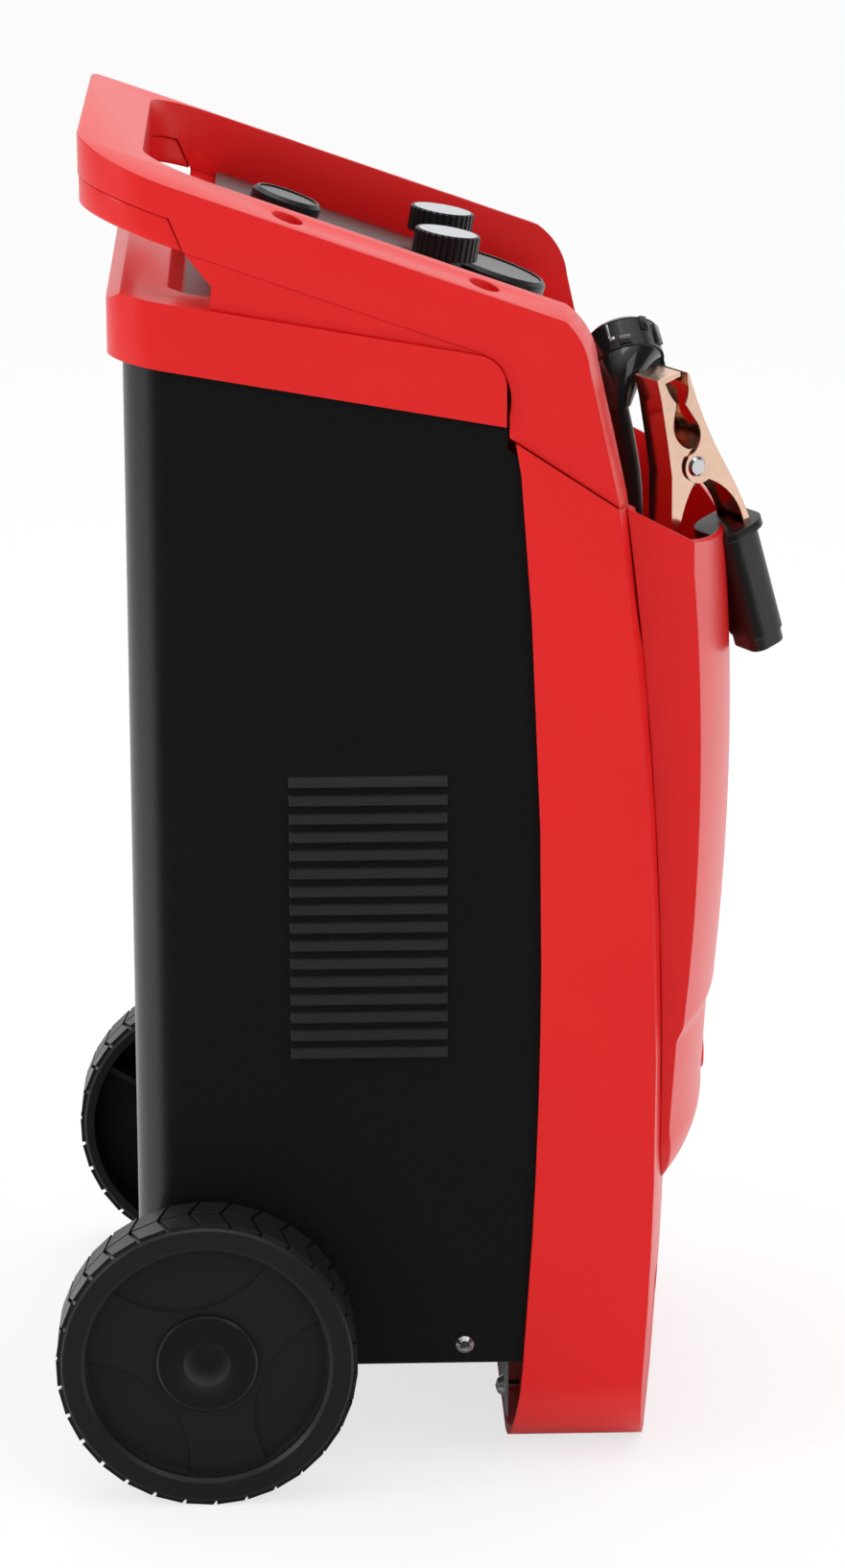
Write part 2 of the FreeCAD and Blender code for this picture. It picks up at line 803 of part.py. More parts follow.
gland_places = ((mains_gland_x, mains_gland_ahead), (lead_gland_x, lead_gland_ahead),
                (blank_gland_x, blank_gland_ahead))
pocket = make_pocket()
keep("storage_pocket", pocket)


# Wheels: a tread ring, a recessed disc with three pads, a ribbed hollow behind and a hub
def tread_row(x0, x1, twist):
    """Ring of splayed blocks between two places along the axle."""
    wires = []
    pitch = 2 * math.pi / tread_pitches
    block = pitch / 2 - tread_cut / tyre_r / 2
    floor_r = tyre_r - tread_depth
    for x, turn in ((x0, 0.0), (x1, twist)):
        spots = []
        for i in range(tread_pitches):
            mid = pitch * i + turn
            for angle, r in ((-block, floor_r), (-block, tyre_r), (block, tyre_r), (block, floor_r)):
                spots.append(Vector(x, y_at(0) + r * math.sin(mid + angle), tyre_r + r * math.cos(mid + angle)))
        wires.append(Part.makePolygon(spots + spots[:1]))
    row = Part.makeLoft(wires, True, True)
    return row.cut(rod((min(x0, x1) - 1, y_at(0), tyre_r), (1, 0, 0), tyre_edge_r - rim_wall + 1, abs(x1 - x0) + 2))


def make_wheel():
    """Wheel on the +X side."""
    half = wheel_width / 2
    face = half - rim_recess
    back = face - web_t
    drum = tyre_edge_r - rim_wall
    core_r = tyre_r - tread_depth - 0.2
    body = turned((wheel_mid, y_at(0), tyre_r), (1, 0, 0), (-half, axle_r + axle_gap), (-half, hub_r), (back, hub_r),
                  (back, drum), (-half, drum), (-half, tyre_edge_r - 1.5), (-half + 1.5, core_r), (half - 1.5, core_r),
                  (half, tyre_edge_r - 1.5), (half, rim_inner_r + 2), (half - 2, rim_inner_r),
                  (face, rim_inner_r), (face, hub_pocket_r), (face - hub_pocket_depth, hub_pocket_r),
                  (face - hub_pocket_depth, axle_r + axle_gap))
    x_face = wheel_mid + face
    pads = []
    for i in range(3):
        angle = math.radians(pad_turn + 120 * i)
        pad = rod((x_face - pad_depth, y_at(0) - pad_reach * math.cos(angle), tyre_r + pad_reach * math.sin(angle)),
                  (1, 0, 0), pad_r, pad_depth + 1)
        pads.append(pad.common(rod((x_face - 2, y_at(0), tyre_r), (1, 0, 0), rim_inner_r - 1, 4)))
    ribs = []
    for i in range(rib_count):
        rib = box(wheel_mid - half + 3, wheel_mid + back + 0.5, -rib_t / 2, rib_t / 2, hub_r - 1, drum + 1)
        rib.rotate(Vector(0, 0, 0), Vector(1, 0, 0), 360.0 / rib_count * (i + 0.5))
        rib.translate(Vector(0, y_at(0), tyre_r))
        ribs.append(rib)
    skew = math.radians(tread_skew) * half / tyre_r
    rows = [tread_row(wheel_mid + side * tread_mid_cut / 2, wheel_mid + side * (half - tread_edge), -skew)
            for side in (-1, 1)]
    return largest(body.fuse(ribs + rows).cut(pads))


wheel = make_wheel()
keep("wheel_right", wheel)
keep("wheel_left", mirrored(wheel))


# Hub caps snapped over the wheel's hubs
def make_hub_cap():
    start = wheel_mid + wheel_width / 2 - rim_recess
    dome_h, dome_r = dome_mid(hub_dome_r, hub_dome_h)
    cap = turned((start, y_at(0), tyre_r), (1, 0, 0), (-3, hub_pocket_r - 1.5), (-3, hub_pocket_r), (0, hub_pocket_r),
                 (0, hub_cap_r), (hub_cap_t - 0.8, hub_cap_r), (hub_cap_t, hub_cap_r - 1.2), (hub_cap_t, hub_dome_r),
                 ((hub_cap_t + dome_h, dome_r), (hub_cap_t + hub_dome_h, 0)), (1.0, 0), (1.0, hub_pocket_r - 1.5))
    return cap


hub_cap = make_hub_cap()
keep("hub_cap_right", hub_cap)
keep("hub_cap_left", mirrored(hub_cap))

# Axle, its lock caps and the spacer bushes
keep("axle", rod((-axle_end, y_at(0), tyre_r), (1, 0, 0), axle_r, 2 * axle_end))
nut_start = wheel_mid + wheel_width / 2 - rim_recess - hub_pocket_depth + side_gap
nut = turned((nut_start, y_at(0), tyre_r), (1, 0, 0), (0, axle_r), (0, nut_r), (nut_t, nut_r), (nut_t + 1.6, axle_r + 1.2),
             (nut_t + 1.6, axle_r))
keep("axle_lock_caps", nut, mirrored(nut))
bush_end = wheel_mid - wheel_width / 2 - bush_gap
bush = turned((wrap_half, y_at(0), tyre_r), (1, 0, 0), (0, axle_r), (0, bush_r), (bush_end - wrap_half, bush_r),
              (bush_end - wrap_half, axle_r))
keep("axle_bushes", bush, mirrored(bush))

# Knobs, switch shafts and switches, square to the cover's slope
knob_axis = Vector(0, -math.sin(math.atan(cover_slope)), math.cos(math.atan(cover_slope)))


def on_knob_axis(side, depth):
    """Point on a knob's axis, at a depth below its top."""
    return Vector(side * knob_side, y_at(knob_ahead), knob_top_z) - knob_axis * depth


def knob_gap_depth():
    """Depth at which the knob's collar ends, just above the control panel."""
    depth = knob_h
    while True:
        point = on_knob_axis(1, depth)
        edge = point.z - knob_hub_r * 0.1
        if edge - panel_surface(knob_side - knob_hub_r, axle_y - point.y) < collar_gap:
            return depth - 0.1
        depth += 0.1


def make_knob(side):
    top = on_knob_axis(side, 0)
    depth = knob_gap_depth()
    down = -knob_axis
    body = turned(top, down, (0, 0), (0, knob_r - 0.8), (0.8, knob_r), (knob_h, knob_r), (knob_h, knob_hub_r),
                  (depth, knob_hub_r), (depth, 0))
    cutters = [rod(top + knob_axis, down, knob_inlay_r, knob_inlay_t + 1), rod(top - knob_axis * 4, down, knob_shaft_r, 40)]
    flute = Part.makeBox(2, 2, knob_h + 2)
    turn = FreeCAD.Rotation(Vector(0, 0, 1), knob_axis) * FreeCAD.Rotation(Vector(0, 0, 1), -45)
    flute.Placement = FreeCAD.Placement(top + down * (knob_h + 1) + Vector(knob_r - knob_flute_depth, 0, 0), turn)
    for i in range(knob_flutes):
        cut = flute.copy()
        cut.rotate(top, knob_axis, 360.0 / knob_flutes * i)
        cutters.append(cut)
    return body.cut(cutters)


def make_switch(side):
    """Switch body under the shelf."""
    start = on_knob_axis(side, shelf_depth + switch_shelf_t)
    body = turned(start, -knob_axis, (0, knob_shaft_r + 0.3), (0, switch_r), (switch_h, switch_r), (switch_h, 0), (8, 0),
                  (8, knob_shaft_r + 0.3))
    ring = turned(start, -knob_axis, (10, switch_r - 1), (10, switch_r + 2), (14, switch_r + 2), (14, switch_r - 1))
    return body.fuse(ring)


for side, place in ((-1, "left"), (1, "right")):
    top = on_knob_axis(side, 0)
    keep("knob_" + place, make_knob(side))
    keep("knob_inlay_" + place, rod(top - knob_axis * knob_inlay_t, knob_axis, knob_inlay_r, knob_inlay_t))
    keep("switch_shaft_" + place, rod(top - knob_axis * 4, -knob_axis, knob_shaft_r, shelf_depth + 5))
    keep("rotary_switch_" + place, make_switch(side))


# Round meters on the control panel's crown
panel_tilt = math.atan(rail_slope)
panel_normal = Vector(0, -math.sin(panel_tilt), math.cos(panel_tilt))


def on_panel(ahead, height):
    """Point above the panel's crown line, along its normal."""
    return Vector(0, y_at(ahead), panel_surface(0, ahead)) + panel_normal * height


def make_meter(ahead, r):
    base = on_panel(ahead, seat_gap)
    inner = r - meter_rim
    case = turned(base, panel_normal, (-meter_depth, 0), (-meter_depth, inner - 0.4), (0, inner - 0.4), (0, r),
                  (meter_h - 2, r), (meter_h, r - 1.8), (meter_h, inner),
                  (meter_dial_at, inner), (meter_dial_at, 0))
    dial = rod(base + panel_normal * meter_dial_at, panel_normal, inner, meter_dial_t)
    glass = rod(base + panel_normal * (meter_h - meter_glass_t - 0.6), panel_normal, inner, meter_glass_t)
    return case, dial, glass


meter_holes = []
for place, ahead, r in (("rear", rear_meter_ahead, rear_meter_r), ("front", front_meter_ahead, front_meter_r)):
    case, dial, glass = make_meter(ahead, r)
    keep(place + "_meter_case", case)
    keep(place + "_meter_dial", dial)
    keep(place + "_meter_glass", glass)
    meter_holes.append(rod(on_panel(ahead, 5), -panel_normal, r - meter_rim - 0.1, 20))
shaft_holes = [rod(on_knob_axis(side, knob_h + 2), -knob_axis, knob_shaft_r + 0.6, 30) for side in (-1, 1)]
keep("control_panel", largest(control_panel.cut([handle] + meter_holes + shaft_holes)))


def make_shelf():
    """Plate between the console's side walls that carries both switches."""
    mid = on_knob_axis(0, shelf_depth)
    a, z = axle_y - mid.y, mid.z
    half = control_cut_half - fit_gap - console_wall
    reach = shelf_reach
    drop = cover_slope * reach
    thick = switch_shelf_t
    plate = side_solid(half, (a - reach, z + drop - thick), (a - reach, z + drop), (a + reach, z - drop),
                       (a + reach, z - drop - thick))
    holes = [rod(on_knob_axis(side, shelf_depth - 4), -knob_axis, knob_shaft_r + 0.3, 12) for side in (-1, 1)]
    holes.append(rod(on_panel(front_meter_ahead, 5), -panel_normal, front_meter_r - meter_rim + fit_gap, 60))
    return largest(plate.cut(holes))


keep("switch_shelf", make_shelf())


# Transformer on its feet
core_low = wrap_bottom + 1 + tray_t + core_foot_h
core_back, core_ahead = core_mid_ahead - core_d / 2, core_mid_ahead + core_d / 2
leg_half = (core_w - 2 * core_window_w) / 4
window_low = core_low + (core_h - core_window_h) / 2
core = box(-core_w / 2, core_w / 2, y_at(core_back), y_at(core_ahead), core_low, core_low + core_h)
for side in (-1, 1):
    core = core.cut(box(side * leg_half, side * (leg_half + core_window_w), y_at(0), y_at(200), window_low,
                        window_low + core_window_h))
keep("transformer_core", core)


def make_winding(z0, z1):
    """Wound block round the middle leg, with rounded corners."""
    gap, out = winding_gap, winding_out
    x, y0, y1 = leg_half + gap, y_at(core_back) + gap, y_at(core_ahead) - gap
    block = box(-x - out, x + out, y0 + out, y1 - out, z0, z1)
    block = block.makeFillet(out * 0.6, [e for e in block.Edges if e.BoundBox.ZLength > z1 - z0 - 0.1])
    return block.cut(box(-x, x, y0, y1, z0 - 1, z1 + 1))


split_z = window_low + core_window_h * 0.52
keep("primary_winding", make_winding(window_low + 0.3, split_z))
keep("secondary_winding", make_winding(split_z + 0.3, window_low + core_window_h - 0.3))


def make_foot(x):
    z0 = wrap_bottom + 1 + tray_t
    y0, y1 = y_at(core_back - 8), y_at(core_ahead + 8)
    outer = box(x - bracket_w / 2, x + bracket_w / 2, y0, y1, z0, core_low)
    return outer.cut(box(x - bracket_w / 2 + bracket_t, x + bracket_w / 2 - bracket_t, y0 + 1, y1 - 1, z0 - 1,
                         core_low - bracket_t))


keep("transformer_feet", make_foot(-core_w / 2 + bracket_w), make_foot(core_w / 2 - bracket_w))


# Rectifier: finned heatsink on the chassis plate with its diodes
def make_heatsink():
    base = box(-heatsink_w / 2, heatsink_w / 2, y_at(plate_ahead), y_at(plate_ahead - heatsink_base), heatsink_z - 24,
               heatsink_z + heatsink_h)
    pitch = (heatsink_w - fin_t) / (heatsink_fins - 1)
    fins = []
    for i in range(heatsink_fins):
        x = -heatsink_w / 2 + i * pitch
        fins.append(box(x, x + fin_t, y_at(plate_ahead - heatsink_base), y_at(plate_ahead - heatsink_fin), heatsink_z,
                        heatsink_z + heatsink_h))
    return base.fuse(fins).removeSplitter()


keep("rectifier_heatsink", make_heatsink())
diode_places = [-heatsink_w * 0.36 + i * heatsink_w * 0.24 for i in range(4)]
diodes = []
for x in diode_places:
    diodes.append(turned((x, y_at(plate_ahead - heatsink_base), heatsink_z - 12), (0, 1, 0), (0, 0), (0, diode_r),
                         (diode_h * 0.6, diode_r), (diode_h, diode_r * 0.45), (diode_h, 0)))
keep("rectifier_diodes", *diodes)


# Screws in the rails, through the plate's foot
def rail_screw(side, a):
    x = side * (handle_half - rail_width / 2)
    z = rail_top(a) + rail_width / 2 * rail_tilt - rail_screw_depth
    return dome_screw((x, y_at(a), z), (0, 0, 1), rail_head_r, rail_head_h, rail_shank_r, rail_shank)


rail_screws = [rail_screw(side, a) for side in (-1, 1) for a in rail_screw_places]
keep("rail_screws", *rail_screws)
foot_screws = []
for side in (-1, 1):
    foot_screws.append(dome_screw((side * foot_screw_side, y_at(plate_ahead), foot_screw_z), (0, 1, 0), foot_screw_r,
                                  foot_screw_h, foot_shank_r - 0.05, foot_shank))
keep("foot_screws", *foot_screws)


def make_gland(x, a, bore):
    """Lead gland through the pocket's floor: a flange above, a nut below and a tapered relief."""
    z = pocket_floor
    neck = gland_r - gland_lip
    under = z - pocket_wall - 4
    return turned((x, y_at(a), 0), (0, 0, 1), (under, bore), (under, gland_r), (z - pocket_wall - seat_gap, gland_r),
                  (z - pocket_wall - seat_gap, neck), (z + seat_gap, neck), (z + seat_gap, gland_r), (z + 3, gland_r),
                  (z + 4.5, neck), (z + gland_h, gland_top_r), (z + gland_h, bore))


keep("mains_gland", make_gland(mains_gland_x, mains_gland_ahead, mains_r))
keep("lead_gland", make_gland(lead_gland_x, lead_gland_ahead, lead_r))
keep("spare_lead_gland", make_gland(blank_gland_x, blank_gland_ahead, 0))


# Coils: half turns whose joints lie left and right of the middle, in two layers
def coil_steps(half_turns):
    """Shrinks of the radius at each joint, in pitches: in at a steady rate, a climb, and out again."""
    inward = half_turns // 2 - 1
    steps = [0.5 * k for k in range(inward)]
    deepest = 0.5 * inward + 0.25
    return steps + [deepest, deepest] + [0.5 * k for k in range(inward - 1, -2, -1)]


def coil_route(x_up, a0, a1, r0, r, half_turns, z_low):
    """Edges of a coil fed from below at its left and leaving upward at its left, one layer ahead."""
    pitch = 2 * r * layer_pitch
    shrink = coil_steps(half_turns)
    climb = half_turns // 2 - 1
    x_mid = x_up + r0
    z_mid = pocket_floor + coil_rest + r0 + pitch / 4 + r
    joints = []
    for k, step in enumerate(shrink):
        rho = r0 - step * pitch
        joints.append(Vector(x_mid + (-rho if k % 2 == 0 else rho), y_at(a0 if k <= climb else a1), z_mid))
    edges = [Part.LineSegment(Vector(joints[0].x, joints[0].y, z_low), joints[0]).toShape()]
    for k in range(len(joints) - 1):
        here, there = joints[k], joints[k + 1]
        rise = (there - here).Length / 2
        mid = (here + there) / 2 + Vector(0, 0, rise if k % 2 == 0 else -rise)
        edges.append(Part.Arc(here, mid, there).toShape())
    out = joints[-1] + Vector(0, 0, 2 * r)
    edges.append(Part.LineSegment(joints[-1], out).toShape())
    return edges, out


def tube(edges, r, sides=cord_sides):
    wire = Part.Wire(edges)
    first = edges[0]
    start = first.valueAt(first.FirstParameter)
    along = first.tangentAt(first.FirstParameter)
    side = along.cross(Vector(1, 0, 0)).normalize()
    up = along.cross(side)
    turns = [2 * math.pi * i / sides for i in range(sides)]
    corners = [start + side * (r * math.cos(t)) + up * (r * math.sin(t)) for t in turns]
    ring = Part.makePolygon(corners + corners[:1])
    return wire.makePipeShell([ring], True, False)


def least_gap(edges, r):
    """Least gap between a route's passes, measured on points along it."""
    points = []
    run = 0.0
    for edge in edges:
        count = max(int(edge.Length / 4), 2)
        span = edge.LastParameter - edge.FirstParameter
        for i in range(count):
            points.append((run + edge.Length * i / count, edge.valueAt(edge.FirstParameter + span * i / count)))
        run += edge.Length
    gaps = []
    for i, (s0, p) in enumerate(points):
        gaps += [p.distanceToPoint(q) for s1, q in points[i + 1:] if s1 - s0 > 8 * r]
    return min(gaps) - 2 * r


def free_route(points):
    """Straight runs joined by tangent arcs, each as large as its two runs allow."""
    places = [Vector(x, y_at(a), z) for x, a, z in points]
    edges = []
    radii = []
    here = places[0]
    for i in range(1, len(places) - 1):
        before = places[i - 1] - places[i]
        after = places[i + 1] - places[i]
        cut = 0.45 * min(before.Length, after.Length)
        half_turn = (math.pi - before.getAngle(after)) / 2
        radius = cut / math.tan(half_turn)
        before.normalize()
        after.normalize()
        start, end = places[i] + before * cut, places[i] + after * cut
        inward = (before + after).normalize()
        mid = places[i] + inward * (radius / math.cos(half_turn) - radius)
        edges.append(Part.LineSegment(here, start).toShape())
        edges.append(Part.Arc(start, mid, end).toShape())
        radii.append(round(radius, 1))
        here = end
    edges.append(Part.LineSegment(here, places[-1]).toShape())
    return edges, radii


def keep_lead(name, edges, r, note):
    solid = tube(edges, r)
    length = sum(edge.Length for edge in edges)
    ratio = solid.Volume / (cord_sides / 2 * math.sin(2 * math.pi / cord_sides) * r * r * length)
    print("%s length %.1f, volume against section %.4f %s" % (name, length, ratio, note))
    keep(name, solid)


gland_end = pocket_floor + gland_h
mains_coil, mains_up = coil_route(mains_gland_x, mains_gland_ahead, mains_gland_ahead + 2 * mains_r * layer_pitch,
                                  mains_coil_r, mains_r, mains_half_turns, gland_end)
lead_coil, lead_up = coil_route(lead_gland_x, lead_gland_ahead, lead_gland_ahead + 2 * lead_r * layer_pitch,
                                lead_coil_r, lead_r, lead_half_turns, gland_end)
keep_lead("mains_coil", mains_coil, mains_r, "least gap %.2f" % least_gap(mains_coil, mains_r))
keep_lead("lead_coil", lead_coil, lead_r, "least gap %.2f" % least_gap(lead_coil, lead_r))

# Free stretches, point by point as (x, distance ahead, z)
mains_points = [(mains_up.x, axle_y - mains_up.y, mains_up.z), (mains_x, axle_y - mains_up.y, 298.0),
                (-40.8, 213.0, 360.0), (-39.6, 218.3, 418.0), (-40.2, 219.8, 468.0), (-40.0, 217.6, 500.0), mains_entry]
lead_points = [(lead_up.x, axle_y - lead_up.y, lead_up.z), (lead_x, axle_y - lead_up.y, 284.0), (-57.0, 230.0, 326.0),
               (lead_x, 232.6, 368.0)]

# Mains plug: a round head on a body that narrows to the cord
def disc_wire(centre, normal, r):
    return Part.Wire(Part.Circle(centre, normal, r).toShape())


def make_plug():
    places = (plug_rim_at, plug_top_at, plug_waist_at, mains_entry)
    rim, top, waist, entry = [Vector(x, y_at(a), z) for x, a, z in places]
    axis = (top - rim).normalize()
    head = turned(rim, axis, (0, 0), (0, plug_r), (plug_head_h - 2, plug_r), (plug_head_h, plug_r - 2), (plug_head_h, 0))
    rise = Vector(mains_entry[0] - mains_points[-2][0], mains_points[-2][1] - mains_entry[1],
                  mains_entry[2] - mains_points[-2][2]).normalize()
    lean = (axis + rise).normalize()
    body = Part.makeLoft([disc_wire(entry, rise, plug_entry_r), disc_wire(waist, lean, plug_waist_r),
                          disc_wire(rim + axis, axis, plug_r - 0.8)], True, False)
    key = box(-3.5, 3.5, -2.5, 2.5, -6, plug_head_h - 4)
    key_at = rim + Vector(0, -1, -0.4).normalize() * (plug_r + 0.3)
    key.Placement = FreeCAD.Placement(key_at, FreeCAD.Rotation(Vector(0, 0, 1), axis))
    return head.fuse([body, key])


keep("mains_plug", make_plug())

# Clamp frame: u points out of the pocket along the clamp, v up, w along the rivet
yaw = math.radians(clamp_yaw)
clamp_u = Vector(math.sin(yaw), -math.cos(yaw), 0)
clamp_w = Vector(-math.cos(yaw), -math.sin(yaw), 0)
clamp_mid = Vector(clamp_x, y_at(clamp_ahead), clamp_z) - clamp_w * clamp_half


def on_clamp(u, v, w=0.0):
    return clamp_mid + clamp_u * u + clamp_w * w + Vector(0, 0, v)


def clamp_slab(half, shift, start, *steps):
    """Slab across the clamp, of an outline in (u, v) moved by shift."""
    face = face_from(start, steps, lambda u, v: on_clamp(u + shift[0], v + shift[1], -half))
    return face.extrude(clamp_w * (2 * half))


inner_half = clamp_half - clamp_t - clamp_nest
grip_low = -100.0
rear_leg_low = -94.0
jaw_a_outline = ((-22.9, 45.2), (-20.2, 34), (-16.3, 12.8), (-13.6, -4.3), (-13.4, -30.3), (-13.8, rear_leg_low),
                 (-7.2, rear_leg_low), (-8.5, -31.9), ((-4.2, -16.5), (0.5, -7.8)), ((6.2, 0.5), (-3.9, 9.0)),
                 ((-11.5, 15.5), (-13.0, 23.5)), (-11.4, 32.7), ((-15.8, 38.5), (-18.2, 43.4)), (-9.2, 46.4), (-9.4, 48.6))
jaw_b_outline = ((-6.6, 48.4), (-5.4, 47.4), ((4.6, 22.2), (17.4, -1.5)), ((25.2, -15.2), (33.3, -32.7)), (47.5, -84.0),
                 (43.0, -85.2), (29.0, -34.0), ((19.0, -14.5), (7.0, -7.0)), ((-5.9, -3.9), (-5.2, 5.0)),
                 ((1.8, 15.0), (-1.0, 23.5)), (-7.4, 32.4), ((-5.8, 38.5), (-6.4, 44.0)))
leg_a_mid = -10.5


def make_jaw(outline, half, web_shift):
    """Folded channel: two ears, a web along one edge and a lip across the top."""
    slab = clamp_slab(half, (0, 0), *outline)
    room = clamp_slab(half - clamp_t, web_shift, *outline)
    hole = rod(on_clamp(0, 0, -half - 1), clamp_w, rivet_r + rivet_gap, 2 * half + 2)
    spring_room = rod(on_clamp(0, 0, clamp_t - half), clamp_w, spring_room_r, 2 * (half - clamp_t))
    return largest(slab.cut([room, spring_room, hole]))


jaw_a = make_jaw(jaw_a_outline, inner_half, (clamp_t, -clamp_t))
jaw_b = largest(make_jaw(jaw_b_outline, clamp_half, (-clamp_t, -clamp_t)).cut(pocket))
keep("clamp_jaw_rear", jaw_a)
keep("clamp_jaw_front", jaw_b)
rivet_half = clamp_half + rivet_gap
rivet = turned(on_clamp(0, 0, -rivet_half), clamp_w, (-rivet_head_h, 0), (-rivet_head_h, rivet_head_r - 1.5),
               (0, rivet_head_r), (0, rivet_r), (2 * rivet_half, rivet_r), (2 * rivet_half, rivet_head_r),
               (2 * rivet_half + rivet_head_h, rivet_head_r - 1.5), (2 * rivet_half + rivet_head_h, 0))
keep("clamp_rivet", rivet)


def make_spring():
    """Torsion spring round the rivet, with a leg down each handle."""
    pitch = 2.6 * spring_wire_r
    span = pitch * spring_turns / 2
    joints = []
    for k in range(spring_turns + 1):
        joints.append(on_clamp(spring_r if k % 2 else -spring_r, 0, -span / 2 + k * pitch / 2))
    edges = [Part.LineSegment(joints[0] - Vector(0, 0, 16), joints[0]).toShape()]
    for k in range(spring_turns):
        here, there = joints[k], joints[k + 1]
        rise = (there - here).Length / 2
        mid = (here + there) / 2 + Vector(0, 0, rise if k % 2 == 0 else -rise)
        edges.append(Part.Arc(here, mid, there).toShape())
    edges.append(Part.LineSegment(joints[-1], joints[-1] - Vector(0, 0, 12)).toShape())
    return tube(edges, spring_wire_r, wire_sides)


keep("clamp_spring", make_spring())


def grip_section(u, v, half_u, half_w, tilt):
    """Rounded section of a grip, square to a leg that leans by tilt from upright."""
    lean_u = clamp_u * math.cos(tilt) + Vector(0, 0, math.sin(tilt))
    mid = on_clamp(u, v)
    r = min(half_u, half_w) * 0.7
    k = r * (1 - math.sqrt(0.5))
    spots = lambda x, y: mid + lean_u * x + clamp_w * y
    steps = ((half_u - r, -half_w), ((half_u - k, -half_w + k), (half_u, -half_w + r)), (half_u, half_w - r),
             ((half_u - k, half_w - k), (half_u - r, half_w)), (-half_u + r, half_w),
             ((-half_u + k, half_w - k), (-half_u, half_w - r)), (-half_u, -half_w + r),
             ((-half_u + k, -half_w + k), (-half_u + r, -half_w)))
    return face_from((-half_u + r, -half_w), steps, spots).OuterWire


def make_grip(stations, tilt):
    """Grip lofted through its stations, each given as (u, v, half across, half along the rivet)."""
    wires = [grip_section(u, v, hu, hw, tilt) for u, v, hu, hw in stations]
    return Part.makeLoft(wires, True, True)


front_tilt = math.atan2(19.0, 51.0)
front_grip = make_grip(((27.8, -37.0, 11.0, 14.6), (45.4, -91.5, 10.6, 14.2)), front_tilt)
front_flange = make_grip(((26.8, -33.4, 14.0, 17.2), (27.8, -37.6, 14.4, 17.6)), front_tilt)
front_collar = make_grip(((45.2, -91.0, 9.6, 13.2), (47.4, -98.2, 9.6, 13.2)), front_tilt)
rear_grip = make_grip(((leg_a_mid, -46.0, 8.6, 13.0), (leg_a_mid, grip_low, 7.8, 12.2)), 0.0)
front_grip = front_grip.fuse([front_flange, front_collar])
keep("clamp_grip_front", largest(front_grip.cut([clamp_slab(clamp_half, (0, 0), *jaw_b_outline), pocket])))
lead_hole = rod(on_clamp(leg_a_mid, grip_low - 1), (0, 0, 1), lead_r, 7)
keep("clamp_grip_rear", largest(rear_grip.cut([clamp_slab(inner_half, (0, 0), *jaw_a_outline), lead_hole])))

grip_end = on_clamp(leg_a_mid, grip_low)
lead_points.append((grip_end.x, axle_y - grip_end.y, grip_end.z))
for name, points, r in (("mains_cord", mains_points, mains_r), ("clamp_lead", lead_points, lead_r)):
    edges, radii = free_route(points)
    keep_lead(name, edges, r, "radii %s" % radii)


def export():
    total = 0
    for name, solids in nodes.items():
        shape = solids[0] if len(solids) == 1 else Part.makeCompound(solids)
        if not shape.isValid():
            print("INVALID", name)
        shape.exportStep("parts/" + name + ".step")
        mesh = MeshPart.meshFromShape(Shape=shape.copy(), LinearDeflection=0.3, AngularDeflection=0.5, Relative=False)
        total += mesh.CountFacets
        b = shape.BoundBox
        span = (b.XMin, b.XMax, b.YMin, b.YMax, b.ZMin, b.ZMax)
        print("%-22s solids %2d  vol %10.0f  tri %5d" % (name, len(solids), shape.Volume, mesh.CountFacets), end="")
        print("  x %.1f %.1f  y %.1f %.1f  z %.1f %.1f" % span)
    print("nodes", len(nodes), "triangles", total)


export()
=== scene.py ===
import json
import math

import bmesh
import bpy
from mathutils import Matrix, Vector


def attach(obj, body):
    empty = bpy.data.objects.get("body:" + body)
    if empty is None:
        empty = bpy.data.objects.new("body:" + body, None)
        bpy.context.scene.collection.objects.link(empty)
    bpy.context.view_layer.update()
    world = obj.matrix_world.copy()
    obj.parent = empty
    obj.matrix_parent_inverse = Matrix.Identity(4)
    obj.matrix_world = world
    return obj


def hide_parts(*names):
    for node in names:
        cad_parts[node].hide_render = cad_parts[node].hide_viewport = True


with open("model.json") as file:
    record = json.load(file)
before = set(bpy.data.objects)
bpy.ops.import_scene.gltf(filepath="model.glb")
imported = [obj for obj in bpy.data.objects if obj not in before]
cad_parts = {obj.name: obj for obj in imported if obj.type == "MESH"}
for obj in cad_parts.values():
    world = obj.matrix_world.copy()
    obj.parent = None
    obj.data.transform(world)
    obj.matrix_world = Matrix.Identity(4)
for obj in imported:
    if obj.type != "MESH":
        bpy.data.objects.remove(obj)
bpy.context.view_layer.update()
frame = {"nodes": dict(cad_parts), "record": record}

# Lengths are in metres, apart from the cords' places and routes: these are in millimetres, as
# (x, distance ahead of the axle, height), which is how the part's source gives them
AXLE_Y = 98.6
MM = 0.001


def at(x, ahead, z):
    """Place in the scene from the source's millimetres."""
    return Vector((x, AXLE_Y - ahead, z)) * MM


def link(name, data):
    obj = bpy.data.objects.new(name, data)
    bpy.context.scene.collection.objects.link(obj)
    return obj


# Camera at the photograph's angle, which looks along +X and down; angles are in radians
CAMERA_PLACE = (-2.3967, 0.0639, 1.0011)
CAMERA_PITCH = 0.277
CAMERA_YAW = -0.033
CAMERA_ROLL = -0.002
CAMERA_LENS_MM = 109.84
SENSOR_MM = 36
CAMERA_REACH = 50


